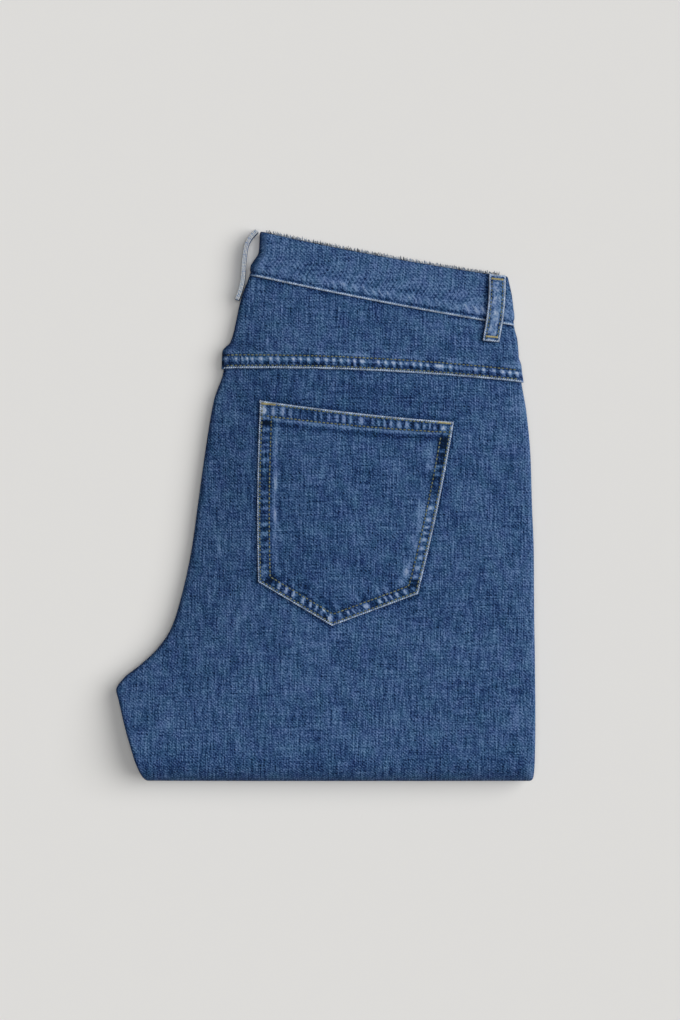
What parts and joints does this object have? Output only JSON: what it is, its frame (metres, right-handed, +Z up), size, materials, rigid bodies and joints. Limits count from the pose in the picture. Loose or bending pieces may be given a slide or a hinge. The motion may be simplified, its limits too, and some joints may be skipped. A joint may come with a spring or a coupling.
{
  "type": "folded regular fit jeans",
  "caption": "Mid-blue stonewashed denim jeans folded in half and then in thirds, lying flat with the back pocket, yoke and waistband uppermost.",
  "frame": {"origin": "centre of the garment's outline on the surface it lies on", "axes": "+X towards the side seams, +Y towards the waist, +Z up off the surface"},
  "size_m": [0.3348, 0.441, 0.0367],
  "materials": {
    "denim": "matte stonewashed twill",
    "denim_worn": "matte twill, worn pale along its edges",
    "denim_reverse": "matte pale reverse of the twill",
    "thread_gold": "matte sewing thread",
    "thread_olive": "matte sewing thread, washed"
  },
  "bodies": {
    "root": {"back_leg": "denim", "yoke": "denim", "waistband": "denim_worn", "back_pocket": "denim", "belt_loop_side": "denim_worn", "belt_loop_back": "denim_worn", "hidden_layers": "denim"}
  },
  "joints": []
}
